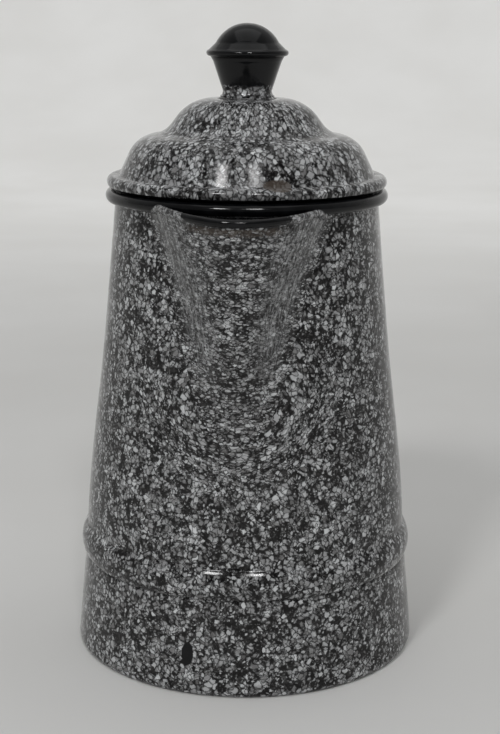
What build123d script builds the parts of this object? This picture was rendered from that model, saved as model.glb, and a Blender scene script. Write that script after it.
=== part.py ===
from build123d import *
import os
from math import asin, atan2, cos, degrees, radians, sin, tan

# Enamelled steel coffee percolator: a tapered pot with a lip spout, a hinged two-tier lid, and inside it a
# pump tube with a perforated basket. Millimetres. +Z is up, the spout points to -Y, the handle and the lid
# hinge are at +Y, and the origin is the centre of the flat base, on the surface that the pot stands on.

# Sheet and fit
SHEET = 1.2  # enamelled steel of the pot, spout and lid
ALU = 0.9  # aluminium of the pump and basket
FIT = 0.05  # gap between pieces that are fixed together, and radial clearance of the hinge pin
REST = 0.3  # gap under a piece that rests on another body

# Pot, radii to the outside of the sheet
BASE_R = 71.2
BASE_CORNER, BASE_CORNER_TURN = 2.6, 86
FLARE_R, FLARE_Z = 69.6, 20.0
SEAM_R, SEAM_Z = 67.7, 39.0  # crease where the shell closes over the base pan
BEAD_R, BEAD_Z = 69.3, 44.8
BEAD_TOP_R, BEAD_TOP_Z = 66.7, 51.6
BELLY_R, BELLY_Z = 64.1, 84.0
CHEST_R, CHEST_Z = 60.3, 115.0
NECK_R, NECK_Z = 56.5, 151.0
RIM_Z = 188.6  # centre of the wired edge
CURL_R = 2.65  # outside of the edge rolled round its wire
WIRE_R = 1.3
ROLL_SLOT = 0.7  # gap where a rolled edge closes round its wire
MOUTH_R = 51.85
WALL_TOP_R = 53.1  # a little inside the rolled edge on both faces
RING_R = MOUTH_R + CURL_R
PAN_NECK_TOP = 50.4  # the pan's neck, inside the shell
PAN_STEP = 2.0  # height over which the pan draws in to its neck

# Spout, a rounded V that leans away from the wall
TOE_Z, TOE_R = 98.0, 61.6  # bottom section, below the point where the nose meets the wall
LIP_R, LIP_Z = 75.0, 186.6  # centre of the rolled lip at the nose
LIP_SLOPE = 4.5  # degrees that the mouth falls towards the nose
LIP_ROLL_R = 1.6
LIP_TRIM = 6.0  # height modelled above the mouth and cut off
TOE_ROUND, TOE_TURN = 16.0, 44.0  # nose radius, and the degrees that each flank turns back from it
LIP_ROUND, LIP_TURN = 11.0, 50.0
FLANK = 52.0
STRAINER_HOLE_R = 1.6
STRAINER_PITCH = 5.5
STRAINER_ROWS = 11
STRAINER_Z = 117.3

# Lid
BRIM_R = 56.55
BRIM_ROLL_R = 2.6
BRIM_Z = RIM_Z + CURL_R + BRIM_ROLL_R + REST
BRIM_RING_R = BRIM_R - BRIM_ROLL_R
SKIRT_FOOT_R, SKIRT_FOOT_Z = 52.2, 195.5
SHOULDER_R, SHOULDER_Z = 47.6, 205.3
SKIRT_LEAN = atan2(SKIRT_FOOT_R - SHOULDER_R, SHOULDER_Z - SKIRT_FOOT_Z)
TIER_ROUND, TIER_TURN = 12.8, 57.0
DIP_ROUND, DIP_TURN = 11.0, 45.0
CROWN_ROUND = 18.0
CROWN_Z = 226.9
COLLAR_BOTTOM_Z = 181.0
COLLAR_SHEET = 1.0
COLLAR_FLANGE = 3.0

# Knob
KNOB_SHEET = 1.0
KNOB_FOOT_R = 11.9
KNOB_WAIST_R, KNOB_WAIST_Z = 9.8, 229.9
KNOB_WAIST_BULGE = 0.4
KNOB_CUP_R, KNOB_CUP_Z = 13.7, 241.4
KNOB_BRIM_R, KNOB_BRIM_Z = 16.4, 244.7
KNOB_BRIM_ROLL_R = 1.25
KNOB_CUP_DROP = 0.6  # from the brim's middle down to the cup's edge
KNOB_TOP_Z = 256.3
KNOB_ROUND = 14.2
CAP_EDGE = 27.5  # degrees above level where the cap's dome meets its flared edge
KNOB_RIVET_R = 2.5
KNOB_RIVET_HEAD_R, KNOB_RIVET_HEAD = 5.6, 1.2
KNOB_RIVET_TAIL_R, KNOB_RIVET_TAIL = 5.2, 1.6

# Hinge behind the rim
HINGE_Y, HINGE_Z = 61.8, 191.4
PIN_R = 1.25
PIN_END = 0.9  # thickness of the pin's upset ends
PIN_END_R = 1.95
KNUCKLE_R = 2.6
LEAF_HALF = 4.0
KNUCKLE_GAP = 0.35
BRACKET_HALF = 9.2
PLATE = 1.1
BRACKET_Z = (166.5, 180.6)
BRACKET_CORNER = 2.5
LEAF_Z = (198.4, 205.2)
LEAF_CORNER = 2.0

# Handle, a strap with rolled edges and a flat tab at each end
STRAP = 1.6
STRAP_HALF = 9.5
STRAP_ROLL_R = 2.0
GRIP_Y = 103.0
GRIP_LEAN = 6.0  # how much closer to the pot the grip's foot is than its top
GRIP_RISE = 8.0  # how far both arms climb away from the wall
GRIP_ROUND = 15.0
TAB_HALF = 12.0
TAB_CORNER = 6.0
UPPER_TAB_Z = (141.0, 165.0)
LOWER_TAB_Z = (71.0, 94.0)
# from each tab's top down to the arm that leaves it
UPPER_ARM_INSET, LOWER_ARM_INSET = 5.0, 6.0

# Rivets
RIVET_R = 1.9
RIVET_X = 6.2
RIVET_HEAD_R, RIVET_HEAD = 3.5, 1.5
RIVET_TAIL = 0.9
LEAF_RIVET_R = 1.2
LEAF_RIVET_HEAD_R, LEAF_RIVET_HEAD = 2.3, 1.1
LEAF_RIVET_TAIL = 0.7
TAIL_SHARE = 0.8  # a tail's radius as a share of its head's
TAIL_SETBACK = 0.2  # a flat tail sits this far off the concave inside of a wall
TAB_RIVET_UP = 8.0  # from a tab's foot to its rivets
BRACKET_RIVET_UP = 5.0

# Pump, basket and spreader
TUBE_R, TUBE_BORE_R = 4.75, 3.75
TUBE_TOP_Z = 188.0
TUBE_SOCKET = 6.0  # length of tube inside the bell's neck
BELL_R, BELL_Z = 33.0, 19.0
BELL_SKIRT, BELL_NECK, BELL_ROUND = 6.0, 8.0, 4.0
BELL_NOTCH_R = 2.2
STOP_R, STOP_Z = 7.5, (110.5, 114.7)
STOP_CHAMFER = 0.6
BASKET_R, BASKET_FOOT_R = 46.0, 43.0
BASKET_Z = (115.0, 160.0)
BASKET_ROUND = 5.0
BASKET_ROLL_R = 1.1
BASKET_HOLE_R = 1.1
BASKET_HOLE_RINGS = ((11.5, 10), (17.5, 16), (23.5, 22), (29.5, 28), (35.5, 34))
SLEEVE_CLEARANCE = 0.08
SLEEVE_FLANGE = 2.2
SLEEVE_TOP_Z = 152.0
SPREADER_DISH_R, SPREADER_DISH = 41.2, 2.4
SPREADER_RIM_R = 42.6
SPREADER_HUB = 1.2
SPREADER_BORE_R = 6.0
SPREADER_HOLE_R = 1.3
SPREADER_HOLE_RINGS = ((13.0, 8), (21.0, 14), (29.0, 20), (37.0, 26))

os.makedirs("parts", exist_ok=True)


def wall_curve(stand_off):
    """The pot's outline from the wired edge down to the seam bead, moved outwards."""
    return Spline(
        (WALL_TOP_R + stand_off, RIM_Z),
        (NECK_R + stand_off, NECK_Z),
        (CHEST_R + stand_off, CHEST_Z),
        (BELLY_R + stand_off, BELLY_Z),
        (BEAD_TOP_R + stand_off, BEAD_TOP_Z),
    )


def wall_face(inner, outer):
    """A strip that follows the pot's wall between two distances off it, or fills it when inner is None."""
    with BuildSketch(Plane.XZ) as strip:
        with BuildLine():
            outside = wall_curve(outer)
            if inner is None:
                Polyline(outside @ 1, (0, BEAD_TOP_Z), (0, RIM_Z), outside @ 0)
            else:
                inside = wall_curve(inner)
                Line(outside @ 0, inside @ 0)
                Line(outside @ 1, inside @ 1)
        make_face()
    return strip.sketch


def wall_radius(height):
    """Outer radius of the wall at a height."""
    return wall_line.line.edges()[0].intersect(Plane.XY.offset(height))[0].X


def facing_plane(side_x, radius, height, lean):
    """A plane on the back of a round part, off the middle by side_x, that leans back from the vertical."""
    turn = asin(side_x / radius)
    normal = (sin(turn) * cos(lean), cos(turn) * cos(lean), sin(lean))
    origin = (side_x, radius * cos(turn), height)
    return Plane(origin, x_dir=(cos(turn), -sin(turn), 0), z_dir=normal)


def wall_seat(side_x, height):
    """A plane on the back of the pot's wall that faces outwards along the wall's normal."""
    reach = 5
    lean = atan2(wall_radius(height - reach) - wall_radius(height + reach), 2 * reach)
    return facing_plane(side_x, wall_radius(height), height, lean)


def rivet_section(shank_r, head_r, head, seat, grip, tail):
    """Half outline of a rivet: a domed head above its seat, and a flat tail below the sheets it grips."""
    shoulder = (head_r * 0.72, seat + head * 0.68)
    tail_r = head_r * TAIL_SHARE
    with BuildSketch(Plane.XZ) as half:
        with BuildLine():
            dome = ThreePointArc((0, seat + head), shoulder, (head_r, seat))
            Polyline(
                dome @ 1,
                (shank_r, seat),
                (shank_r, seat - grip),
                (tail_r, seat - grip),
                (tail_r, seat - grip - tail),
                (0, seat - grip - tail),
                dome @ 0,
            )
        make_face()
    return half.sketch


def sheet_face(outline, thickness):
    """The section of a sheet that lies to the left of its outline, seen with the axis on the left."""
    strip = offset(outline, thickness, side=Side.LEFT, closed=True, mode=Mode.PRIVATE)
    return Plane.XZ * make_face(strip.edges(), mode=Mode.PRIVATE)


def hole_rings(rings, hole_r):
    """Add rings of holes, each a radius and a count, to the current sketch."""
    for radius, count in rings:
        with PolarLocations(radius, count):
            Circle(hole_r)


# Fillers that shape whatever touches the wall or the wired edge.
with BuildLine(Plane.XZ) as wall_line:
    wall_curve(0)
with BuildPart() as wall_filler:
    add(wall_face(None, FIT))
    revolve(axis=Axis.Z)
with BuildPart() as rim_filler:
    with BuildSketch(Plane.XZ):
        with Locations((RING_R, RIM_Z)):
            Circle(CURL_R + FIT)
        with Locations((RING_R / 2, RIM_Z)):
            Rectangle(RING_R, 4 * CURL_R)
    revolve(axis=Axis.Z)
with BuildPart() as tab_band:
    add(wall_face(FIT, FIT + STRAP))
    revolve(axis=Axis.Z)
with BuildPart() as plate_band:
    add(wall_face(FIT, FIT + PLATE))
    revolve(axis=Axis.Z)

# Rivets that hold the handle and the hinge bracket, and the holes for them.
RIVET_GROUPS = {
    "handle_upper_rivets": (UPPER_TAB_Z[0] + TAB_RIVET_UP, STRAP),
    "handle_lower_rivets": (LOWER_TAB_Z[0] + TAB_RIVET_UP, STRAP),
    "hinge_bracket_rivets": (BRACKET_Z[0] + BRACKET_RIVET_UP, PLATE),
}
with BuildPart() as rivet_holes:
    for rivet_z, _ in RIVET_GROUPS.values():
        for side in (-1, 1):
            with BuildSketch(wall_seat(side * RIVET_X, rivet_z)):
                Circle(RIVET_R + FIT)
            extrude(amount=STRAP + 2 * SHEET, both=True)
for group_name, (rivet_z, plate) in RIVET_GROUPS.items():
    seat = plate + 2 * FIT
    grip = seat + SHEET + TAIL_SETBACK
    with BuildPart() as rivets:
        for side in (-1, 1):
            place = wall_seat(side * RIVET_X, rivet_z)
            add(place.location * rivet_section(RIVET_R, RIVET_HEAD_R, RIVET_HEAD, seat, grip, RIVET_TAIL))
            revolve(axis=Axis(place.origin, place.z_dir))
    rivets.part.label = group_name
    export_step(rivets.part, f"parts/{group_name}.step")

# Strainer holes in the wall behind the spout, in rows that widen upwards.
with BuildPart() as strainer_holes:
    for row in range(STRAINER_ROWS):
        row_z = STRAINER_Z + row * STRAINER_PITCH
        columns = 1 + row // 2 + row % 2
        for column in range(columns):
            turn = STRAINER_PITCH / wall_radius(row_z) * (column - (columns - 1) / 2)
            facing = Vector(sin(turn), -cos(turn), 0)
            start = (MOUTH_R - 4) * facing + Vector(0, 0, row_z)
            with BuildSketch(Plane(start, z_dir=facing)):
                Circle(STRAINER_HOLE_R)
            extrude(amount=BASE_R - MOUTH_R)

# Pot body: the tapered wall, the edge rolled over its wire, and the bead over the base pan.
with BuildPart() as pot_body:
    add(wall_face(-SHEET, 0))
    with BuildSketch(Plane.XZ):
        with Locations((RING_R, RIM_Z)):
            Circle(CURL_R)
            Circle(WIRE_R + FIT, mode=Mode.SUBTRACT)
        with Locations((RING_R, RIM_Z - CURL_R)):
            Rectangle(ROLL_SLOT, 2 * SHEET, mode=Mode.SUBTRACT)
    with BuildSketch(Plane.XZ):
        with BuildLine():
            bulge = ThreePointArc(
                (BEAD_TOP_R, BEAD_TOP_Z), (BEAD_R, BEAD_Z), (SEAM_R + 0.2, SEAM_Z + 0.15)
            )
            hollow = ThreePointArc(
                (BEAD_TOP_R - SHEET, BEAD_TOP_Z), (BEAD_R - SHEET, BEAD_Z), (SEAM_R - SHEET, SEAM_Z + 1)
            )
            Line(bulge @ 0, hollow @ 0)
            Line(bulge @ 1, hollow @ 1)
        make_face()
    revolve(axis=Axis.Z)
    add(rivet_holes.part, mode=Mode.SUBTRACT)
    add(strainer_holes.part, mode=Mode.SUBTRACT)
pot_body.part.label = "pot_body"
export_step(pot_body.part, "parts/pot_body.step")

with BuildPart() as rim_wire:
    with BuildSketch(Plane.XZ):
        with Locations((RING_R, RIM_Z)):
            Circle(WIRE_R)
    revolve(axis=Axis.Z)
rim_wire.part.label = "rim_wire"
export_step(rim_wire.part, "parts/rim_wire.step")

# Base pan: a flat floor, a small corner, the flared side, and a neck that rises inside the shell.
pan_neck_r = BEAD_TOP_R - SHEET - FIT
pan_side_z = SEAM_Z - 0.4
with BuildLine() as pan_line:
    floor = Line((0, 0), (BASE_R - BASE_CORNER, 0))
    corner = JernArc(floor @ 1, (1, 0), BASE_CORNER, BASE_CORNER_TURN)
    flare = ThreePointArc(corner @ 1, (FLARE_R, FLARE_Z), (SEAM_R, pan_side_z))
    step = Line(flare @ 1, (pan_neck_r, pan_side_z + PAN_STEP))
    Line(step @ 1, (pan_neck_r, PAN_NECK_TOP))
pan_face = sheet_face(pan_line.line, SHEET)
with BuildPart() as base_pan:
    add(pan_face)
    revolve(axis=Axis.Z)
base_pan.part.label = "base_pan"
export_step(base_pan.part, "parts/base_pan.step")


def flank_lines(nose, turn):
    """Straight flanks that run back from both ends of the nose's arc."""
    back = radians(turn)
    left = Line(nose @ 0, nose @ 0 + FLANK * Vector(-cos(back), sin(back)))
    right = Line(nose @ 1, nose @ 1 + FLANK * Vector(cos(back), sin(back)))
    return left, right


def spout_section(height, nose_r, nose_round, turn):
    """A level rounded V, open towards the wall, with its nose at the given radius."""
    with BuildSketch(Plane.XY.offset(height)) as section:
        with BuildLine():
            nose = CenterArc((0, nose_round - nose_r), nose_round, 270 - turn, 2 * turn)
            left, right = flank_lines(nose, turn)
            Line(left @ 1, right @ 1)
        make_face()
    return section.sketch


# Spout: a rounded V with a rolled lip, cut to the wall and to the wired edge.
trim_z = LIP_Z + LIP_TRIM
trim_r = TOE_R + (LIP_R - TOE_R) * (trim_z - TOE_Z) / (LIP_Z - TOE_Z)
fall = radians(LIP_SLOPE)
mouth = Plane((0, -LIP_R, LIP_Z), x_dir=(1, 0, 0), z_dir=(0, -sin(fall), cos(fall)))
with BuildPart() as spout:
    add(spout_section(TOE_Z, TOE_R, TOE_ROUND, TOE_TURN))
    add(spout_section(trim_z, trim_r, LIP_ROUND, LIP_TURN))
    loft(ruled=True)
    add(spout_section(TOE_Z, TOE_R - SHEET, TOE_ROUND - SHEET, TOE_TURN))
    add(spout_section(trim_z, trim_r - SHEET, LIP_ROUND - SHEET, LIP_TURN))
    loft(ruled=True, mode=Mode.SUBTRACT)
    split(bisect_by=mouth, keep=Keep.BOTTOM)
    with BuildLine(mouth) as lip_line:
        lip_round = LIP_ROUND - SHEET / 2
        lip_nose = CenterArc((0, lip_round), lip_round, 270 - LIP_TURN, 2 * LIP_TURN)
        flank_lines(lip_nose, LIP_TURN)
    lip_wire = lip_line.wire()
    with BuildSketch(Plane(lip_wire @ 0, z_dir=lip_wire % 0)):
        Circle(LIP_ROLL_R)
    sweep(path=lip_wire)
    add(wall_filler.part, mode=Mode.SUBTRACT)
    add(rim_filler.part, mode=Mode.SUBTRACT)
spout.part.label = "spout"
export_step(spout.part, "parts/spout.step")

# Handle: a strap whose edges are rolled inwards, with a tab at each end that lies on the wall.
upper_arm_z = UPPER_TAB_Z[1] - UPPER_ARM_INSET
lower_arm_z = LOWER_TAB_Z[1] - LOWER_ARM_INSET
with BuildLine(Plane.YZ) as grip_line:
    FilletPolyline(
        (wall_radius(upper_arm_z) + STRAP / 2, upper_arm_z),
        (GRIP_Y, upper_arm_z + GRIP_RISE),
        (GRIP_Y - GRIP_LEAN, lower_arm_z + GRIP_RISE),
        (wall_radius(lower_arm_z) + STRAP / 2, lower_arm_z),
        radius=GRIP_ROUND,
    )
grip_wire = grip_line.wire()
roll_drop = STRAP_ROLL_R - STRAP / 2
with BuildPart() as handle_strap:
    with BuildSketch(Plane(grip_wire @ 0, x_dir=(1, 0, 0), z_dir=grip_wire % 0)):
        Rectangle(2 * STRAP_HALF, STRAP)
        with Locations((-STRAP_HALF + 0.4, -roll_drop), (STRAP_HALF - 0.4, -roll_drop)):
            Circle(STRAP_ROLL_R)
    sweep(path=grip_wire)
    add(wall_filler.part, mode=Mode.SUBTRACT)
with BuildPart() as handle_tabs:
    for tab_foot, tab_top in (UPPER_TAB_Z, LOWER_TAB_Z):
        with BuildSketch(Plane.XZ):
            with Locations((0, (tab_foot + tab_top) / 2)):
                RectangleRounded(2 * TAB_HALF, tab_top - tab_foot, TAB_CORNER)
        extrude(amount=-BASE_R)
    add(tab_band.part, mode=Mode.INTERSECT)
with BuildPart() as handle:
    add(handle_strap.part)
    add(handle_tabs.part)
    add(rivet_holes.part, mode=Mode.SUBTRACT)
handle.part.label = "handle"
export_step(handle.part, "parts/handle.step")

# Hinge bracket: a plate on the wall and two arms that reach past the wired edge to the knuckles.
arm_x = LEAF_HALF + KNUCKLE_GAP
arm_foot_y = wall_radius(BRACKET_Z[1])
arm_foot_z = BRACKET_Z[1] - 4
with BuildPart() as bracket_plate:
    with BuildSketch(Plane.XZ):
        with Locations((0, sum(BRACKET_Z) / 2)):
            RectangleRounded(2 * BRACKET_HALF, BRACKET_Z[1] - BRACKET_Z[0], BRACKET_CORNER)
    extrude(amount=-BASE_R)
    add(plate_band.part, mode=Mode.INTERSECT)
with BuildPart() as hinge_bracket:
    for side in (-1, 1):
        with BuildSketch(Plane.YZ.offset(side * (arm_x + BRACKET_HALF) / 2)):
            with BuildLine():
                Polyline(
                    (arm_foot_y - 0.4, arm_foot_z),
                    (arm_foot_y + PLATE, arm_foot_z),
                    (HINGE_Y - KNUCKLE_R + PLATE + 0.8, HINGE_Z - 2.4),
                    (HINGE_Y - KNUCKLE_R + 0.1, HINGE_Z - 0.6),
                    close=True,
                )
            make_face()
            with Locations((HINGE_Y, HINGE_Z)):
                Circle(KNUCKLE_R)
        extrude(amount=(BRACKET_HALF - arm_x) / 2, both=True)
    add(bracket_plate.part)
    with BuildSketch(Plane.YZ):
        with Locations((HINGE_Y, HINGE_Z)):
            Circle(PIN_R + FIT)
    extrude(amount=BASE_R, both=True, mode=Mode.SUBTRACT)
    add(wall_filler.part, mode=Mode.SUBTRACT)
    add(rivet_holes.part, mode=Mode.SUBTRACT)
hinge_bracket.part.label = "hinge_bracket"
export_step(hinge_bracket.part, "parts/hinge_bracket.step")

pin_half = BRACKET_HALF + 0.1
with BuildPart() as hinge_pin:
    with BuildSketch(Plane.YZ.offset(-pin_half)):
        with Locations((HINGE_Y, HINGE_Z)):
            Circle(PIN_R)
    extrude(amount=2 * pin_half)
    for side in (-1, 1):
        with BuildSketch(Plane.YZ.offset(side * pin_half)):
            with Locations((HINGE_Y, HINGE_Z)):
                Circle(PIN_END_R)
        extrude(amount=side * PIN_END)
    for end in (0, -1):
        fillet(hinge_pin.faces().filter_by(Plane.YZ).sort_by(Axis.X)[end].edges(), 0.4)
hinge_pin.part.label = "hinge_pin"
export_step(hinge_pin.part, "parts/hinge_pin.step")

# Lid: the outline from the rolled brim over both tiers to the flat crown.
with BuildLine() as lid_line:
    skirt = Line((SKIRT_FOOT_R, SKIRT_FOOT_Z), (SHOULDER_R, SHOULDER_Z))
    tier = JernArc(skirt @ 1, skirt % 1, TIER_ROUND, TIER_TURN)
    dip = JernArc(tier @ 1, tier % 1, DIP_ROUND, -DIP_TURN)
    heading = atan2((dip % 1).Y, (dip % 1).X)
    climb = (CROWN_Z - (dip @ 1).Y - CROWN_ROUND * (1 + cos(heading))) / sin(heading)
    rise = Line(dip @ 1, dip @ 1 + climb * (dip % 1))
    crown = JernArc(rise @ 1, rise % 1, CROWN_ROUND, 180 - degrees(heading))
    Line(crown @ 1, (0, CROWN_Z))

# Rivets through the lid's skirt for the hinge leaf, and the holes for them.
leaf_rivet_z = sum(LEAF_Z) / 2 + 0.4
leaf_rivet_r = SKIRT_FOOT_R - (leaf_rivet_z - SKIRT_FOOT_Z) * tan(SKIRT_LEAN)
leaf_places = [facing_plane(side * RIVET_X, leaf_rivet_r, leaf_rivet_z, SKIRT_LEAN) for side in (-1, 1)]
leaf_seat = PLATE + 2 * FIT
leaf_grip = leaf_seat + SHEET + TAIL_SETBACK / 2
with BuildPart() as leaf_rivet_holes:
    for place in leaf_places:
        with BuildSketch(place):
            Circle(LEAF_RIVET_R + FIT)
        extrude(amount=PLATE + 2 * SHEET, both=True)
with BuildPart() as hinge_leaf_rivets:
    for place in leaf_places:
        section = rivet_section(
            LEAF_RIVET_R, LEAF_RIVET_HEAD_R, LEAF_RIVET_HEAD, leaf_seat, leaf_grip, LEAF_RIVET_TAIL
        )
        add(place.location * section)
        revolve(axis=Axis(place.origin, place.z_dir))
hinge_leaf_rivets.part.label = "hinge_leaf_rivets"
export_step(hinge_leaf_rivets.part, "parts/hinge_leaf_rivets.step")

lid_face = sheet_face(lid_line.line, SHEET)
with BuildPart() as lid_shell:
    add(lid_face)
    with BuildSketch(Plane.XZ):
        with Locations((BRIM_RING_R, BRIM_Z)):
            Circle(BRIM_ROLL_R)
            Circle(WIRE_R + FIT, mode=Mode.SUBTRACT)
        with Locations((BRIM_RING_R, BRIM_Z - BRIM_ROLL_R)):
            Rectangle(ROLL_SLOT, 2 * SHEET, mode=Mode.SUBTRACT)
    revolve(axis=Axis.Z)
    add(leaf_rivet_holes.part, mode=Mode.SUBTRACT)
    with BuildSketch(Plane.XY.offset(SHOULDER_Z)):
        Circle(KNOB_RIVET_R + FIT)
    extrude(amount=CROWN_Z - SHOULDER_Z + 1, mode=Mode.SUBTRACT)
lid_shell.part.label = "lid_shell"
export_step(lid_shell.part, "parts/lid_shell.step")

with BuildPart() as lid_wire:
    with BuildSketch(Plane.XZ):
        with Locations((BRIM_RING_R, BRIM_Z)):
            Circle(WIRE_R)
    revolve(axis=Axis.Z)
lid_wire.part.label = "lid_wire"
export_step(lid_wire.part, "parts/lid_wire.step")

# Collar: a skirt that drops into the pot's mouth, with a flange that lies inside the lid.
collar_top_z = BRIM_Z + BRIM_ROLL_R
collar_r = SKIRT_FOOT_R - (collar_top_z - SKIRT_FOOT_Z) * tan(SKIRT_LEAN) - (SHEET + FIT) / cos(SKIRT_LEAN)
with BuildLine() as collar_line:
    Polyline(
        (collar_r, COLLAR_BOTTOM_Z),
        (collar_r, collar_top_z),
        (collar_r - COLLAR_FLANGE * tan(SKIRT_LEAN), collar_top_z + COLLAR_FLANGE),
    )
collar_face = sheet_face(collar_line.line, COLLAR_SHEET)
with BuildPart() as lid_collar:
    add(collar_face)
    revolve(axis=Axis.Z)
lid_collar.part.label = "lid_collar"
export_step(lid_collar.part, "parts/lid_collar.step")

# Hinge leaf: a plate on the lid's skirt and a strap over the brim to the middle knuckle.
gap = FIT / cos(SKIRT_LEAN)
leaf_low_r = SKIRT_FOOT_R - (LEAF_Z[0] - SKIRT_FOOT_Z) * tan(SKIRT_LEAN) + gap
leaf_high_r = leaf_low_r - (LEAF_Z[1] - LEAF_Z[0]) * tan(SKIRT_LEAN)
leaf_level = PLATE / cos(SKIRT_LEAN)  # the plate's thickness, measured level
with BuildPart() as leaf_band:
    with BuildSketch(Plane.XZ):
        with BuildLine():
            Polyline(
                (leaf_low_r, LEAF_Z[0]),
                (leaf_low_r + leaf_level, LEAF_Z[0]),
                (leaf_high_r + leaf_level, LEAF_Z[1]),
                (leaf_high_r, LEAF_Z[1]),
                close=True,
            )
        make_face()
    revolve(axis=Axis.Z)
with BuildPart() as leaf_plate:
    with BuildSketch(Plane.XZ):
        with Locations((0, sum(LEAF_Z) / 2)):
            RectangleRounded(2 * BRACKET_HALF, LEAF_Z[1] - LEAF_Z[0], LEAF_CORNER)
    extrude(amount=-BASE_R)
    add(leaf_band.part, mode=Mode.INTERSECT)
with BuildPart() as brim_filler:
    with BuildSketch(Plane.XZ):
        with Locations((BRIM_RING_R, BRIM_Z)):
            Circle(BRIM_ROLL_R + FIT)
    revolve(axis=Axis.Z)
    with BuildSketch(Plane.XZ):
        with BuildLine():
            Polyline(
                (SKIRT_FOOT_R + gap, SKIRT_FOOT_Z),
                (SHOULDER_R + gap, SHOULDER_Z),
                (0, SHOULDER_Z),
                (0, SKIRT_FOOT_Z),
                close=True,
            )
        make_face()
    revolve(axis=Axis.Z)
with BuildPart() as hinge_leaf:
    with BuildSketch(Plane.YZ):
        with BuildLine():
            Polyline(
                (leaf_low_r - 0.2, LEAF_Z[0] + 1.6),
                (leaf_low_r + leaf_level, LEAF_Z[0] + 1.2),
                (HINGE_Y + 0.4, HINGE_Z + KNUCKLE_R - 0.05),
                (HINGE_Y - 1.6, HINGE_Z + 1.5),
                (leaf_low_r - 0.2, LEAF_Z[0] - 0.8),
                close=True,
            )
        make_face()
        with Locations((HINGE_Y, HINGE_Z)):
            Circle(KNUCKLE_R)
    extrude(amount=LEAF_HALF, both=True)
    add(leaf_plate.part)
    with BuildSketch(Plane.YZ):
        with Locations((HINGE_Y, HINGE_Z)):
            Circle(PIN_R + FIT)
    extrude(amount=BASE_R, both=True, mode=Mode.SUBTRACT)
    add(brim_filler.part, mode=Mode.SUBTRACT)
    add(leaf_rivet_holes.part, mode=Mode.SUBTRACT)
hinge_leaf.part.label = "hinge_leaf"
export_step(hinge_leaf.part, "parts/hinge_leaf.step")

# Knob: a flared cup, a domed cap folded over its brim, and the rivet inside.
knob_floor_z = CROWN_Z + FIT
with BuildLine() as cup_line:
    foot = Line((0, knob_floor_z), (KNOB_FOOT_R, knob_floor_z))
    waist_side = (KNOB_WAIST_R + KNOB_WAIST_BULGE, (knob_floor_z + KNOB_WAIST_Z) / 2)
    waist = ThreePointArc(foot @ 1, waist_side, (KNOB_WAIST_R, KNOB_WAIST_Z))
    cup_side = Line(waist @ 1, (KNOB_CUP_R, KNOB_CUP_Z))
    Line(cup_side @ 1, (KNOB_BRIM_R - KNOB_BRIM_ROLL_R, KNOB_BRIM_Z - KNOB_CUP_DROP))
cup_face = sheet_face(cup_line.line, KNOB_SHEET)
with BuildPart() as knob_cup:
    add(cup_face)
    revolve(axis=Axis.Z)
    with BuildSketch(Plane.XY.offset(CROWN_Z)):
        Circle(KNOB_RIVET_R + FIT)
    extrude(amount=2 * KNOB_SHEET, mode=Mode.SUBTRACT)
knob_cup.part.label = "knob_cup"
export_step(knob_cup.part, "parts/knob_cup.step")

cap_centre = (0, KNOB_TOP_Z - KNOB_ROUND)
cap_edge = (KNOB_BRIM_R - 0.8, KNOB_BRIM_Z + KNOB_BRIM_ROLL_R - 0.2)
with BuildLine() as cap_line:
    dome = CenterArc(cap_centre, KNOB_ROUND, CAP_EDGE, 90 - CAP_EDGE, mode=Mode.PRIVATE)
    Line(cap_edge, dome @ 0)
    add(dome)
cap_face = sheet_face(cap_line.line, KNOB_SHEET)
with BuildPart() as knob_cap:
    add(cap_face)
    with BuildSketch(Plane.XZ):
        with Locations((KNOB_BRIM_R - KNOB_BRIM_ROLL_R, KNOB_BRIM_Z)):
            Circle(KNOB_BRIM_ROLL_R)
    revolve(axis=Axis.Z)
    add(knob_cup.part, mode=Mode.SUBTRACT)
knob_cap.part.label = "knob_cap"
export_step(knob_cap.part, "parts/knob_cap.step")

rivet_head_z = CROWN_Z - SHEET - FIT
rivet_tail_z = knob_floor_z + KNOB_SHEET + FIT
with BuildPart() as knob_rivet:
    with BuildSketch(Plane.XZ):
        with BuildLine():
            Polyline(
                (0, rivet_head_z - KNOB_RIVET_HEAD),
                (KNOB_RIVET_HEAD_R - 0.6, rivet_head_z - KNOB_RIVET_HEAD),
                (KNOB_RIVET_HEAD_R, rivet_head_z),
                (KNOB_RIVET_R, rivet_head_z),
                (KNOB_RIVET_R, rivet_tail_z),
                (KNOB_RIVET_TAIL_R, rivet_tail_z),
                (KNOB_RIVET_TAIL_R - 0.8, rivet_tail_z + KNOB_RIVET_TAIL),
                (0, rivet_tail_z + KNOB_RIVET_TAIL),
                close=True,
            )
        make_face()
    revolve(axis=Axis.Z)
knob_rivet.part.label = "knob_rivet"
export_step(knob_rivet.part, "parts/knob_rivet.step")

# Pump: the tube, its flared foot and the ring that the basket rests on.
bell_foot_z = SHEET + REST
tube_foot_z = BELL_Z - TUBE_SOCKET
with BuildPart() as pump_tube:
    with BuildSketch(Plane.XY.offset(tube_foot_z)):
        Circle(TUBE_R)
        Circle(TUBE_BORE_R, mode=Mode.SUBTRACT)
    extrude(amount=TUBE_TOP_Z - tube_foot_z)
pump_tube.part.label = "pump_tube"
export_step(pump_tube.part, "parts/pump_tube.step")

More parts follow.
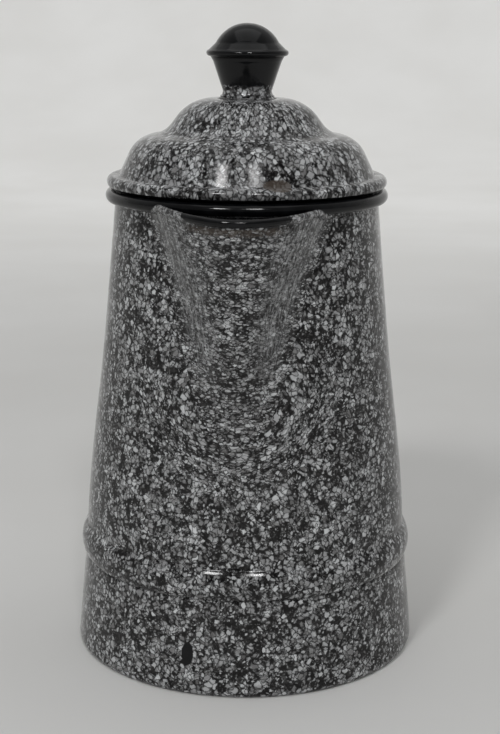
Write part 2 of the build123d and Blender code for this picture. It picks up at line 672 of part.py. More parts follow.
bell_neck_r = TUBE_R + FIT + ALU
with BuildLine() as bell_line:
    FilletPolyline(
        (BELL_R, bell_foot_z),
        (BELL_R - BELL_SKIRT, bell_foot_z + BELL_SKIRT),
        (bell_neck_r, BELL_Z - BELL_NECK),
        (bell_neck_r, BELL_Z),
        radius=BELL_ROUND,
    )
bell_face = sheet_face(bell_line.line, ALU)
with BuildPart() as pump_bell:
    add(bell_face)
    revolve(axis=Axis.Z)
    with BuildSketch(Plane.XY.offset(bell_foot_z)):
        Circle(2 * BELL_R)
    extrude(amount=-2 * ALU, mode=Mode.SUBTRACT)
    for across in (Plane.XZ, Plane.YZ):
        with BuildSketch(across):
            with Locations((0, bell_foot_z)):
                Circle(BELL_NOTCH_R)
        extrude(amount=BELL_R + ALU, both=True, mode=Mode.SUBTRACT)
pump_bell.part.label = "pump_bell"
export_step(pump_bell.part, "parts/pump_bell.step")

with BuildPart() as basket_stop:
    with BuildSketch(Plane.XY.offset(STOP_Z[0])):
        Circle(STOP_R)
        Circle(TUBE_R + FIT, mode=Mode.SUBTRACT)
    extrude(amount=STOP_Z[1] - STOP_Z[0])
    chamfer(basket_stop.edges().filter_by(GeomType.CIRCLE).group_by(Axis.Z)[0], STOP_CHAMFER)
basket_stop.part.label = "basket_stop"
export_step(basket_stop.part, "parts/basket_stop.step")

# Basket: perforated floor, tapered side, rolled edge, and a sleeve that slides on the tube.
sleeve_bore_r = TUBE_R + SLEEVE_CLEARANCE
sleeve_r = sleeve_bore_r + ALU
basket_roll_at = (BASKET_R - BASKET_ROLL_R, BASKET_Z[1] - BASKET_ROLL_R)
with BuildLine() as basket_line:
    FilletPolyline(
        (sleeve_r + FIT, BASKET_Z[0]), (BASKET_FOOT_R, BASKET_Z[0]), basket_roll_at, radius=BASKET_ROUND
    )
basket_face = sheet_face(basket_line.line, ALU)
with BuildPart() as basket:
    add(basket_face)
    with BuildSketch(Plane.XZ):
        with Locations(basket_roll_at):
            Circle(BASKET_ROLL_R)
    revolve(axis=Axis.Z)
    with BuildSketch(Plane.XY.offset(BASKET_Z[0] - ALU)):
        hole_rings(BASKET_HOLE_RINGS, BASKET_HOLE_R)
    extrude(amount=3 * ALU, mode=Mode.SUBTRACT)
basket.part.label = "basket"
export_step(basket.part, "parts/basket.step")

flange_z = BASKET_Z[0] + ALU + FIT
with BuildPart() as basket_sleeve:
    with BuildSketch(Plane.XZ):
        with BuildLine():
            Polyline(
                (sleeve_bore_r, BASKET_Z[0]),
                (sleeve_r, BASKET_Z[0]),
                (sleeve_r, flange_z),
                (sleeve_r + SLEEVE_FLANGE, flange_z),
                (sleeve_r + SLEEVE_FLANGE, flange_z + ALU),
                (sleeve_r, flange_z + ALU),
                (sleeve_r, SLEEVE_TOP_Z),
                (sleeve_bore_r, SLEEVE_TOP_Z),
                close=True,
            )
        make_face()
    revolve(axis=Axis.Z)
basket_sleeve.part.label = "basket_sleeve"
export_step(basket_sleeve.part, "parts/basket_sleeve.step")

# Spreader: a dished perforated plate whose edge rests on the basket.
spreader_z = BASKET_Z[1] + REST
dish_z = spreader_z - SPREADER_DISH
with BuildLine() as spreader_line:
    Polyline(
        (SPREADER_BORE_R, spreader_z + SPREADER_HUB),
        (SPREADER_BORE_R, dish_z),
        (SPREADER_DISH_R, dish_z),
        (SPREADER_RIM_R, spreader_z),
        (BASKET_R + 0.6, spreader_z),
    )
spreader_face = sheet_face(spreader_line.line, ALU)
with BuildPart() as spreader:
    add(spreader_face)
    revolve(axis=Axis.Z)
    with BuildSketch(Plane.XY.offset(dish_z - ALU)):
        hole_rings(SPREADER_HOLE_RINGS, SPREADER_HOLE_R)
    extrude(amount=3 * ALU, mode=Mode.SUBTRACT)
spreader.part.label = "spreader"
export_step(spreader.part, "parts/spreader.step")
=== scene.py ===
from math import atan2, cos, degrees, pi, radians, sin, sqrt, tan

import bpy
from mathutils import Matrix, Vector, noise


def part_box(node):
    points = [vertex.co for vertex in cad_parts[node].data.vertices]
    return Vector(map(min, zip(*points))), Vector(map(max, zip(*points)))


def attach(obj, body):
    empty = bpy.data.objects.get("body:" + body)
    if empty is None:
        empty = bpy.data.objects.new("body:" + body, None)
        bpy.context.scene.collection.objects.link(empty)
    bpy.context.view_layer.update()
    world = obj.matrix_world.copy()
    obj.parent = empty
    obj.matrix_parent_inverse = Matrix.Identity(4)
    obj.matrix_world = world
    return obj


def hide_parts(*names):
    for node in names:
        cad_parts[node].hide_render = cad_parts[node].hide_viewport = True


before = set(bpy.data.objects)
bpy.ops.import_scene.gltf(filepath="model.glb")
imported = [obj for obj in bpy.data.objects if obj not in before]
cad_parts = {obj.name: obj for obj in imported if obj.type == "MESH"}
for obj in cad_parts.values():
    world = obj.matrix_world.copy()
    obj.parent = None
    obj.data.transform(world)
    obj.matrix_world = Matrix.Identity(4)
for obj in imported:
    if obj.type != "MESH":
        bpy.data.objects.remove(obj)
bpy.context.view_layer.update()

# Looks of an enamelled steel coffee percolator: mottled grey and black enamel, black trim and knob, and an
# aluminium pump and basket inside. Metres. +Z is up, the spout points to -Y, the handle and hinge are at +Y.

# Sizes read from the frame
BASE_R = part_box("base_pan")[1].x
BEAD_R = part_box("pot_body")[1].x
RIM_TOP_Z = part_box("pot_body")[1].z
BRIM_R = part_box("lid_shell")[1].x
CROWN_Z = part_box("lid_shell")[1].z
KNOB_TOP_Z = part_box("knob_cap")[1].z
KNOB_BRIM_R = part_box("knob_cap")[1].x
WIRE_Z = (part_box("rim_wire")[0].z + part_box("rim_wire")[1].z) / 2
BRIM_WIRE_Z = (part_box("lid_wire")[0].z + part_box("lid_wire")[1].z) / 2
LIP_ROLL_R = 0.0016
LIP_R = -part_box("spout")[0].y - LIP_ROLL_R

# Pot, radii to the outside of the sheet
SHEET = 0.0012
BASE_CORNER = 0.0026
SEAM_R, SEAM_Z = 0.0677, 0.0390
FLARE_R, FLARE_Z = 0.0696, 0.0200
BEAD_Z = 0.0448
CURL_R = RIM_TOP_Z - WIRE_Z
MOUTH_R = 0.05185
WALL = ((0.0667, 0.0516), (0.0641, 0.0840), (0.0603, 0.1150), (0.0565, 0.1510), (0.0531, WIRE_Z))
PAN_NECK_TOP = 0.0504

# Spout
TOE_Z = 0.0975
TIP_Z, TIP_R = 0.1010, 0.0620
LIP_Z = 0.1866
LIP_RISE = tan(radians(4.5))
LIP_TILT = 0.0012
SPOUT_HALF_ANGLES = (
    (0.0975, 3.5),
    (0.1010, 5.0),
    (0.1060, 8.5),
    (0.1180, 13.0),
    (0.1400, 18.5),
    (0.1600, 24.5),
    (0.1880, 39.0),
)
NOSE_SHARPNESS = 0.30

# Lid
SKIRT_FOOT = (0.0522, 0.1955)
SHOULDER = (0.0476, 0.2053)
TIER_ROUND, TIER_TURN = 0.0128, 57.0
DIP_ROUND, DIP_TURN = 0.0110, 45.0
CROWN_ROUND = 0.0180
KNOB_RIVET_HOLE_R = 0.00255

# Knob
KNOB_SHEET = 0.0010
KNOB_FOOT_R = 0.0119
KNOB_WAIST = (0.0098, 0.2299)
KNOB_CUP = (0.0137, 0.2414)
KNOB_BRIM_Z = 0.2447
KNOB_BRIM_ROLL_R = 0.00125
KNOB_ROUND = 0.0142
CAP_EDGE = 27.5

# Worn spots: azimuth in degrees, height, half width and half height
CHIP = (-15.2, 0.0169, 0.0026, 0.0050)
BRIM_STAIN = (16.3, 0.1975, 0.0058, 0.0022)
LIP_SPOT = (17.3, 0.1845, 0.0011, 0.0008)

TURNS = 360
MM = 0.001


# ---------------------------------------------------------------- outlines and meshes

def smooth(low, high, value):
    """0 below low, 1 above high, and a smooth step between."""
    share = min(1.0, max(0.0, (value - low) / (high - low)))
    return share * share * (3 - 2 * share)


def smooth_max(a, b, round_over):
    """The larger of two heights, with the corner between them rounded."""
    near = max(round_over - abs(a - b), 0.0) / round_over
    return max(a, b) + near * near * round_over / 4


def arc(centre, radius, start, end, steps):
    """Points on an arc between two angles in degrees."""
    turns = [radians(start + (end - start) * i / steps) for i in range(steps + 1)]
    return [(centre[0] + radius * cos(t), centre[1] + radius * sin(t)) for t in turns]


def line(start, end, steps):
    """Points on a straight line, without its last one."""
    return [tuple(a + (b - a) * i / steps for a, b in zip(start, end)) for i in range(steps)]


def arc_through(start, middle, end, steps):
    """Points on the arc through three points."""
    ax, ay = start
    bx, by = middle
    cx, cy = end
    d = 2 * (ax * (by - cy) + bx * (cy - ay) + cx * (ay - by))
    a2, b2, c2 = ax * ax + ay * ay, bx * bx + by * by, cx * cx + cy * cy
    centre = ((a2 * (by - cy) + b2 * (cy - ay) + c2 * (ay - by)) / d,
              (a2 * (cx - bx) + b2 * (ax - cx) + c2 * (bx - ax)) / d)
    radius = sqrt((ax - centre[0]) ** 2 + (ay - centre[1]) ** 2)
    angles = [degrees(atan2(y - centre[1], x - centre[0])) for x, y in (start, middle, end)]
    for i in (1, 2):
        angles[i] += 360 * round((angles[i - 1] - angles[i]) / 360)
    return arc(centre, radius, angles[0], angles[2], steps)


def bend(start, heading, radius, turn, steps):
    """Points on an arc that starts along a heading and turns by an angle; all angles in degrees."""
    side = 1 if turn > 0 else -1
    out = radians(heading + 90 * side)
    centre = (start[0] + radius * cos(out), start[1] + radius * sin(out))
    first = heading - 90 * side
    return arc(centre, radius, first, first + turn, steps)


def wall_radius(height):
    """Outer radius of the pot's wall, on the smooth curve through the wall's points."""
    total = 0.0
    for i, (radius, own) in enumerate(WALL):
        for j, (_, other) in enumerate(WALL):
            if i != j:
                radius *= (height - other) / (own - other)
        total += radius
    return total


def ripple(angle, height):
    """How far the hand-finished sheet stands off its true round, in metres."""
    around = Vector((cos(angle) * 2.2, sin(angle) * 2.2, height * 45))
    broad = noise.noise(around) * 0.00016
    fine = noise.noise(around * 4.3) * 0.00004
    return broad + fine


def new_piece(name, points, faces):
    """A smooth-shaded mesh object in the row frame."""
    mesh = bpy.data.meshes.new(name)
    mesh.from_pydata(points, [], faces)
    mesh.validate()
    mesh.shade_smooth()
    piece = bpy.data.objects.new(name, mesh)
    bpy.context.scene.collection.objects.link(piece)
    return piece


def lathe(name, outline, ripples=0.0):
    """Turn an outline about the axis. It is a closed loop, or it runs from the axis back to the axis."""
    on_axis = outline[0][0] == 0.0
    ring = outline[1:-1] if on_axis else outline
    points = []
    for turn in range(TURNS):
        angle = 2 * pi * turn / TURNS
        for radius, height in ring:
            r = radius + ripples * ripple(angle, height)
            points.append((r * sin(angle), -r * cos(angle), height))
    count = len(ring)
    faces = []
    for turn in range(TURNS):
        here, there = turn * count, (turn + 1) % TURNS * count
        for i in range(count - 1 if on_axis else count):
            j = (i + 1) % count
            faces.append((here + i, there + i, there + j, here + j))
    if on_axis:
        first, last = len(points), len(points) + 1
        points += [(0, 0, outline[0][1]), (0, 0, outline[-1][1])]
        for turn in range(TURNS):
            here, there = turn * count, (turn + 1) % TURNS * count
            faces.append((first, there, here))
            faces.append((here + count - 1, there + count - 1, last))
    return new_piece(name, points, faces)


def cut(piece, cutter):
    """Cut one mesh out of another and drop the cutter."""
    modifier = piece.modifiers.new("cut", "BOOLEAN")
    modifier.operation = "DIFFERENCE"
    modifier.solver = "EXACT"
    modifier.object = cutter
    ready = piece.evaluated_get(bpy.context.evaluated_depsgraph_get())
    mesh = bpy.data.meshes.new_from_object(ready)
    piece.modifiers.remove(modifier)
    piece.data = mesh
    bpy.data.objects.remove(cutter)
    return piece


def paint(piece, name, kind, value):
    """Store a value at each point, worked out from the point's place, for the material to read."""
    attribute = piece.data.attributes.new(name, kind, "POINT")
    for point, item in zip(piece.data.vertices, attribute.data):
        if kind == "FLOAT":
            item.value = value(point.co)
        else:
            item.vector = value(point.co)


def spot(point, azimuth, height, half_width, half_height):
    """1 inside a worn spot and 0 outside it. Azimuth in degrees from the nose towards +X."""
    radius, angle = around(point)
    across = radius * (angle - radians(azimuth)) / half_width
    up = (point.z - height) / half_height
    return 1 - smooth(0.6, 1.3, sqrt(across ** 2 + up ** 2))


def sheet_loop(outer, inner):
    """A closed outline: up the outside and back down the inside."""
    return outer + inner[::-1]


def around(point):
    """(radius, azimuth from the nose towards +X) of a point."""
    return sqrt(point.x ** 2 + point.y ** 2), atan2(point.x, -point.y)


# ---------------------------------------------------------------- materials

def node(tree, kind, inputs=None, **settings):
    """Add a node, set its options, and link or fill its inputs."""
    made = tree.nodes.new(kind)
    for key, value in settings.items():
        setattr(made, key, value)
    for key, value in (inputs or {}).items():
        if isinstance(value, bpy.types.NodeSocket):
            tree.links.new(value, made.inputs[key])
        else:
            made.inputs[key].default_value = value
    return made


def maths(tree, operation, *values, clamp=False):
    """A math node's result."""
    made = node(tree, "ShaderNodeMath", dict(enumerate(values)), operation=operation, use_clamp=clamp)
    return made.outputs[0]


def mix(tree, factor, a, b):
    """Colour a where the factor is 0 and b where it is 1."""
    made = node(tree, "ShaderNodeMix", {0: factor, 6: a, 7: b}, data_type="RGBA")
    return made.outputs[2]


def mix_value(tree, factor, a, b):
    """Number a where the factor is 0 and b where it is 1."""
    made = node(tree, "ShaderNodeMix", {0: factor, 2: a, 3: b}, data_type="FLOAT")
    return made.outputs[0]


def ramp(tree, value, low, high, to_low=0.0, to_high=1.0):
    """A smooth step of a value between two levels."""
    inputs = {"Value": value, "From Min": low, "From Max": high, "To Min": to_low, "To Max": to_high}
    return node(tree, "ShaderNodeMapRange", inputs, interpolation_type="SMOOTHSTEP").outputs[0]


def grey(level, tint=(1.0, 1.0, 1.0)):
    """A colour from one level and a tint."""
    return (level * tint[0], level * tint[1], level * tint[2], 1.0)


def noise_value(tree, place, size, detail=2.0, roughness=0.5):
    """Noise of a given grain, with the place in millimetres."""
    inputs = {"Vector": place, "Scale": 1.0 / size, "Detail": detail, "Roughness": roughness}
    return node(tree, "ShaderNodeTexNoise", inputs)


def new_material(name):
    """A material with its shader and output joined."""
    material = bpy.data.materials.new(name)
    material.use_nodes = True
    tree = material.node_tree
    tree.nodes.clear()
    shader = node(tree, "ShaderNodeBsdfPrincipled")
    node(tree, "ShaderNodeOutputMaterial", {"Surface": shader.outputs[0]})
    return material, tree, shader


def millimetres(tree, coordinates):
    """Object coordinates, turned into millimetres."""
    made = node(tree, "ShaderNodeVectorMath", {0: coordinates, "Scale": 1 / MM}, operation="SCALE")
    return made.outputs[0]


# Sizes of the enamel's droplets in millimetres: cell, least and most radius as a share of the cell
DROPLETS = ((1.2, 0.16, 0.66), (2.0, 0.10, 0.74), (3.4, -0.28, 0.58))
GROUND_LOW = grey(0.0025, (1.05, 0.97, 1.0))
GROUND_HIGH = grey(0.038, (1.03, 1.0, 1.0))
DULL = grey(0.13, (1.02, 1.0, 1.0))
LIGHT = grey(0.68, (0.98, 1.0, 1.02))
STAIN = (0.060, 0.047, 0.037, 1.0)
GLOSS = 0.28
# Dark veins where droplets meet: cell in millimetres, width as a share of it, and depth
VEIN_CELL, VEIN_WIDTH, VEIN_DEPTH = 2.0, 0.16, 0.85


def shaken(tree, place, size, reach):
    """A place pushed about by noise of a given grain."""
    noise_colour = noise_value(tree, place, size, 2.0).outputs["Color"]
    push = node(tree, "ShaderNodeVectorMath", {0: noise_colour, 1: (0.5, 0.5, 0.5)}, operation="SUBTRACT")
    push = node(tree, "ShaderNodeVectorMath", {0: push.outputs[0], "Scale": reach}, operation="SCALE")
    return node(tree, "ShaderNodeVectorMath", {0: place, 1: push.outputs[0]}, operation="ADD").outputs[0]


def mottle(tree, place, lighter=0.0):
    """Colour of spattered enamel: three sizes of soft grey droplet over near-black, stirred as it ran."""
    moved = shaken(tree, shaken(tree, place, 5.0, 3.2), 1.0, 1.5)
    crowd = noise_value(tree, place, 6.5, 3.0, 0.65).outputs["Fac"]
    crowd = maths(tree, "ADD", crowd, lighter - 0.5)
    wash = noise_value(tree, moved, 3.0, 4.0, 0.65).outputs["Fac"]
    colour = mix(tree, ramp(tree, wash, 0.38, 0.68), GROUND_LOW, GROUND_HIGH)
    for cell, least, most in DROPLETS:
        cells = node(tree, "ShaderNodeTexVoronoi", {"Vector": moved, "Scale": 1.0 / cell})
        chance = node(tree, "ShaderNodeSeparateColor", {0: cells.outputs["Color"]})
        reach = maths(tree, "MULTIPLY_ADD", chance.outputs[0], most - least, least)
        reach = maths(tree, "MULTIPLY_ADD", crowd, 1.3, reach)
        inside = maths(tree, "SUBTRACT", reach, cells.outputs["Distance"])
        inside = ramp(tree, inside, -0.12, 0.20)
        cover = maths(tree, "MULTIPLY_ADD", chance.outputs[2], 0.45, 0.5)
        tone = mix(tree, chance.outputs[1], DULL, LIGHT)
        colour = mix(tree, maths(tree, "MULTIPLY", inside, cover), colour, tone)
    edges = node(tree, "ShaderNodeTexVoronoi", {"Vector": moved, "Scale": 1.0 / VEIN_CELL},
                 feature="DISTANCE_TO_EDGE").outputs["Distance"]
    return mix(tree, ramp(tree, edges, 0.0, VEIN_WIDTH, VEIN_DEPTH, 0.0), colour, GROUND_LOW)


def marked(tree, place, colour):
    """The colour with the piece's brown stain, and its black edging, chips or painted shade, laid over it
    with ragged edges.
    """
    edge = noise_value(tree, place, 1.6, 2.0).outputs["Fac"]
    ragged = maths(tree, "MULTIPLY_ADD", edge, 0.7, -0.35)
    stain = node(tree, "ShaderNodeAttribute", attribute_name="stain").outputs["Fac"]
    stain = ramp(tree, maths(tree, "ADD", stain, ragged), 0.35, 0.75, 0.0, 0.8)
    colour = mix(tree, stain, colour, STAIN)
    # black enamel edging and chips, and painted shade: black under the lid's brim and inside the spout's
    # mouth
    black_trim_and_shade = node(tree, "ShaderNodeAttribute", attribute_name="black_trim_and_shade").outputs["Fac"]
    black_trim_and_shade = ramp(tree, maths(tree, "ADD", black_trim_and_shade, ragged), 0.4, 0.6)
    return mix(tree, black_trim_and_shade, colour, black_colour(tree, place))


def enamel_shader(tree, shader, colour, place, bump=0.00002):
    """Glassy enamel: a hard gloss that wavers a little in its roughness and its surface."""
    haze = noise_value(tree, place, 7.0, 3.0).outputs["Fac"]
    rough = ramp(tree, haze, 0.3, 0.8, 0.08, 0.20)
    peel = noise_value(tree, place, 2.4, 2.0).outputs["Fac"]
    height = node(tree, "ShaderNodeBump", {"Height": peel, "Strength": 1.0, "Distance": bump})
    tree.links.new(height.outputs[0], shader.inputs["Normal"])
    tree.links.new(rough, shader.inputs["Roughness"])
    if isinstance(colour, bpy.types.NodeSocket):
        tree.links.new(colour, shader.inputs["Base Color"])
    else:
        shader.inputs["Base Color"].default_value = colour
    shader.inputs["IOR"].default_value = 1.5
    shader.inputs["Specular IOR Level"].default_value = GLOSS


def black_colour(tree, place):
    """Black enamel with a faint cloudiness."""
    cloud = noise_value(tree, place, 4.0, 4.0).outputs["Fac"]
    deep = grey(0.002, (0.9, 1.0, 1.2))
    clouded = grey(0.006, (0.95, 1.0, 1.15))
    return mix(tree, ramp(tree, cloud, 0.35, 0.75), deep, clouded)


def mottled_material(name, lighter=0.0):
    """Mottled enamel, with the piece's stains, black edging and painted shade."""
    material, tree, shader = new_material(name)
    place = node(tree, "ShaderNodeAttribute", attribute_name="grain").outputs["Vector"]
    enamel_shader(tree, shader, marked(tree, place, mottle(tree, place, lighter)), place)
    return material


def spout_material(name):
    """Mottled enamel that is banded across the nose and drawn out into streaks down the flanks."""
    material, tree, shader = new_material(name)
    place = node(tree, "ShaderNodeAttribute", attribute_name="grain").outputs["Vector"]
    drawn = node(tree, "ShaderNodeAttribute", attribute_name="streak").outputs["Vector"]
    flank = node(tree, "ShaderNodeAttribute", attribute_name="flank").outputs["Fac"]
    colour = mix(tree, flank, mottle(tree, place), mottle(tree, drawn, 0.06))
    enamel_shader(tree, shader, marked(tree, place, colour), place)
    return material


def black_material(name):
    """Plain black enamel, as on the knob and the handle."""
    material, tree, shader = new_material(name)
    place = millimetres(tree, node(tree, "ShaderNodeTexCoord").outputs["Object"])
    enamel_shader(tree, shader, black_colour(tree, place), place)
    return material


def metal_material(name, colour, dull, rough, brush_size, brush_stretch):
    """Worn bare metal with brush lines and duller clouds."""
    material, tree, shader = new_material(name)
    place = millimetres(tree, node(tree, "ShaderNodeTexCoord").outputs["Object"])
    lines = node(tree, "ShaderNodeVectorMath", {0: place, 1: brush_stretch}, operation="MULTIPLY").outputs[0]
    brushed = noise_value(tree, lines, brush_size, 3.0).outputs["Fac"]
    cloud = noise_value(tree, place, 11.0, 4.0, 0.6).outputs["Fac"]
    tone = mix(tree, ramp(tree, cloud, 0.35, 0.7), colour, dull)
    tone = mix(tree, ramp(tree, brushed, 0.3, 0.7, 0.0, 0.35), tone, dull)
    tree.links.new(tone, shader.inputs["Base Color"])
    rub = ramp(tree, cloud, 0.3, 0.8, rough, rough + 0.18)
    tree.links.new(rub, shader.inputs["Roughness"])
    height = node(tree, "ShaderNodeBump", {"Height": brushed, "Strength": 0.5, "Distance": 0.00001})
    tree.links.new(height.outputs[0], shader.inputs["Normal"])
    shader.inputs["Metallic"].default_value = 1.0
    return material


MOTTLED = mottled_material("mottled_enamel")
LID_ENAMEL = mottled_material("lid_enamel", 0.06)
SPOUT_ENAMEL = spout_material("spout_enamel")
BLACK = black_material("black_enamel")
STEEL = metal_material("bare_steel", grey(0.52, (1.0, 0.98, 0.95)), grey(0.30), 0.28, 1.2, (0.2, 1.0, 1.0))
ALUMINIUM = metal_material("aluminium", grey(0.80), grey(0.58, (1.0, 1.0, 0.98)), 0.30, 0.8, (1.0, 1.0, 0.08))


def finish_piece(piece, body, material, replaced):
    """Give a new piece its material and its body, and hide the CAD node it stands for."""
    piece.data.materials.append(material)
    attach(piece, body)
    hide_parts(replaced)


# ---------------------------------------------------------------- pot

def strainer_cutter():
    """Round pins where the wall is pierced behind the spout, in rows that widen upwards."""
    hole_r = 0.0016
    pitch = 0.0055
    rows = 11
    first_z = 0.1173
    sides = 20
    points, faces = [], []
    for row in range(rows):
        height = first_z + row * pitch
        columns = 1 + row // 2 + row % 2
        for column in range(columns):
            turn = pitch / wall_radius(height) * (column - (columns - 1) / 2)
            facing = Vector((sin(turn), -cos(turn), 0))
            across = Vector((cos(turn), sin(turn), 0))
            start = len(points)
            for depth in (MOUTH_R - 0.004, BASE_R):
                for i in range(sides):
                    angle = 2 * pi * i / sides
                    off = across * hole_r * cos(angle) + Vector((0, 0, hole_r * sin(angle)))
                    points.append(facing * depth + Vector((0, 0, height)) + off)
            faces.append([start + i for i in reversed(range(sides))])
            faces.append([start + sides + i for i in range(sides)])
            for i in range(sides):
                j = (i + 1) % sides
                faces.append((start + i, start + j, start + sides + j, start + sides + i))
    return new_piece("strainer_cutter", points, faces)


def pot_outline():
    """Bead, wall and rolled rim on the outside, then the inside of the same sheet."""
    ring_r = MOUTH_R + CURL_R
    under_z = WIRE_Z - 0.0024
    levels = 110
    top_z = WALL[0][1]
    outer = arc_through((SEAM_R + 0.0002, SEAM_Z + 0.00015), (BEAD_R, BEAD_Z), (WALL[0][0], top_z), 22)[:-1]
    outer += [(wall_radius(top_z + (under_z - top_z) * i / levels), top_z + (under_z - top_z) * i / levels)
              for i in range(levels + 1)]
    outer += arc((ring_r, WIRE_Z), CURL_R, -112, 180, 44)
    inner_levels = 60
    inner_top_z = WIRE_Z - 0.003
    inner_heights = [top_z + (inner_top_z - top_z) * i / inner_levels for i in range(inner_levels + 1)]
    inner = [(wall_radius(height) - SHEET, height) for height in inner_heights]
    low_end = (WALL[0][0] - SHEET, top_z)
    low = arc_through((SEAM_R - SHEET, SEAM_Z + 0.001), (BEAD_R - SHEET, BEAD_Z), low_end, 16)
    return sheet_loop(outer, low[:-1] + inner)


def pot_trim(point):
    """1 on the black rolled rim."""
    radius, _ = around(point)
    return smooth(WIRE_Z - 0.0030, WIRE_Z - 0.0010, point.z)


def millimetre_place(point):
    """The enamel's grain follows the place itself."""
    return point / MM


# Where the enamel ran round the spout's toe: centre height, middle and half width of the ring of streaks
RUN_Z, RUN_R, RUN_HALF = 0.125, 0.034, 0.010
RUN_SQUEEZE = 0.55


def pot_grain(point):
    """The grain follows the place, squeezed into curved streaks below the spout's toe."""
    radius, angle = around(point)
    across, down = radius * angle, RUN_Z - point.z
    reach = sqrt(across ** 2 + down ** 2)
    below = smooth(-0.6, 0.8, down / reach)
    push = RUN_SQUEEZE * RUN_HALF * below * (2 * smooth(RUN_R - RUN_HALF, RUN_R + RUN_HALF, reach) - 1)
    return (point + push / reach * Vector((across, 0.0, -down))) / MM


pot = lathe("pot_shell", pot_outline(), ripples=1.0)
cut(pot, strainer_cutter())
pot.data.shade_smooth()
paint(pot, "grain", "FLOAT_VECTOR", pot_grain)
paint(pot, "black_trim_and_shade", "FLOAT", pot_trim)
finish_piece(pot, "pot", MOTTLED, "pot_body")


def pan_outline():
    """Flat floor, rounded corner, flared side and the neck inside the shell, then back along the inside."""
    neck_r = WALL[0][0] - SHEET - 0.00005
    corner_centre = (BASE_R - BASE_CORNER, BASE_CORNER)
    outer = [(0.0, 0.0)] + line((0.004, 0.0), corner_centre[:1] + (0.0,), 14)
    outer += arc(corner_centre, BASE_CORNER, -90, -4, 12)[:-1]
    outer += arc_through((BASE_R, BASE_CORNER), (FLARE_R, FLARE_Z), (SEAM_R, SEAM_Z - 0.0004), 40)
    outer += [(neck_r, SEAM_Z + 0.0016), (neck_r, PAN_NECK_TOP)]
    inner = [(neck_r - SHEET, PAN_NECK_TOP), (neck_r - SHEET, SEAM_Z + 0.001)]
    inner += arc_through((SEAM_R - SHEET, SEAM_Z - 0.001), (FLARE_R - SHEET, FLARE_Z),
                         (BASE_R - SHEET, BASE_CORNER), 24)
    inner += arc(corner_centre, BASE_CORNER - SHEET, 0, -90, 8)
    inner += [(0.004, SHEET), (0.0, SHEET)]
    return outer + inner


pan = lathe("base_pan_shell", pan_outline(), ripples=0.8)
paint(pan, "grain", "FLOAT_VECTOR", millimetre_place)
paint(pan, "black_trim_and_shade", "FLOAT", lambda point: spot(point, *CHIP))
finish_piece(pan, "pot", MOTTLED, "base_pan")


# ---------------------------------------------------------------- spout

def half_angle(height):
    """How far round the wall the spout reaches at a height, in radians."""
    stations = SPOUT_HALF_ANGLES
    if height <= stations[0][0]:
        return radians(stations[0][1])
    for i in range(len(stations) - 1):
        (z0, a0), (z1, a1) = stations[i], stations[i + 1]
        if height <= z1:
            before = stations[i - 1] if i else (2 * z0 - z1, 2 * a0 - a1)
            after = stations[i + 2] if i + 2 < len(stations) else (2 * z1 - z0, 2 * a1 - a0)
            m0 = (a1 - before[1]) / (z1 - before[0]) * (z1 - z0)
            m1 = (after[1] - a0) / (after[0] - z0) * (z1 - z0)
            t = (height - z0) / (z1 - z0)
            return radians((2 * t ** 3 - 3 * t ** 2 + 1) * a0 + (t ** 3 - 2 * t ** 2 + t) * m0
                           + (3 * t ** 2 - 2 * t ** 3) * a1 + (t ** 3 - t ** 2) * m1)
    return radians(stations[-1][1])


def nose_share(across):
    """1 on the nose line and 0 where the flank meets the wall: a V with a round nose."""
    soft = NOSE_SHARPNESS
    return 1 - (sqrt(across ** 2 + soft ** 2) - soft) / (sqrt(1 + soft ** 2) - soft)


def spout_radius(across, height):
    """Outer radius of the spout, filleted into the wall."""
    wall = wall_radius(height)
    lead = TIP_R + (LIP_R - TIP_R) * (height - TIP_Z) / (LIP_Z - TIP_Z) - wall
    nose = wall + lead * (nose_share(across) if lead > 0 else 1.0)
    fillet = 0.0008 + 0.0034 * smooth(TIP_Z, TIP_Z + 0.035, height)
    return smooth_max(nose, wall - 0.00008, fillet)


def lip_height(across):
    """Height of the middle of the rolled lip: it climbs to the rim and turns down where it dies out."""
    angle = across * half_angle(LIP_Z)
    forward = spout_radius(across, LIP_Z) * cos(angle)
    turn_down = 0.0030 * smooth(0.74, 1.0, abs(across))
    return LIP_Z + (LIP_R - forward) * LIP_RISE - LIP_TILT * sin(angle) - turn_down


def spout():
    """A closed shell of columns across the spout: up the outside, round the lip, and down the inside."""
    columns, rows, roll_steps = 150, 110, 22
    reach = 1.22
    points, faces = [], []
    for column in range(columns + 1):
        across = reach * (2 * column / columns - 1)
        top = lip_height(across)
        loop = []
        lip_r = spout_radius(across, top)
        step = 0.01
        beside = spout_radius(across + step, top)
        slope = (beside - lip_r) / (step * half_angle(top) * lip_r)
        stretch = min(1.5, sqrt(1 + slope ** 2))
        roll = LIP_ROLL_R * (1 - 0.25 * smooth(0.6, 1.0, abs(across)))
        for row in range(rows + 1):
            height = TOE_Z + (top - roll - TOE_Z) * row / rows
            loop.append((spout_radius(across, height), height))
        loop += [(lip_r + x * stretch, top + y) for x, y in arc((0, 0), roll, -80, 222, roll_steps)]
        for row in reversed(range(rows + 1)):
            height = TOE_Z + (top - roll - TOE_Z) * row / rows
            inner = spout_radius(across, height) - SHEET * stretch
            loop.append((max(inner, wall_radius(height) - 0.0007), height))
        for radius, height in loop:
            angle = across * half_angle(height)
            r = radius + ripple(angle, height)
            points.append((r * sin(angle), -r * cos(angle), height))
    count = len(loop)
    for column in range(columns):
        here, there = column * count, (column + 1) * count
        for i in range(count):
            j = (i + 1) % count
            faces.append((here + i, there + i, there + j, here + j))
    faces.append(tuple(reversed(range(count))))
    faces.append(tuple(range(columns * count, (columns + 1) * count)))
    return new_piece("spout_shell", points, faces)


def spout_share(point):
    """How far across the spout a point is: 0 on the nose line, 1 or -1 where a flank meets the wall."""
    return around(point)[1] / half_angle(point.z)


def nose_grain(point):
    """Grain banded across the nose."""
    return (point.x / MM, point.y / MM, point.z / MM * 1.7)


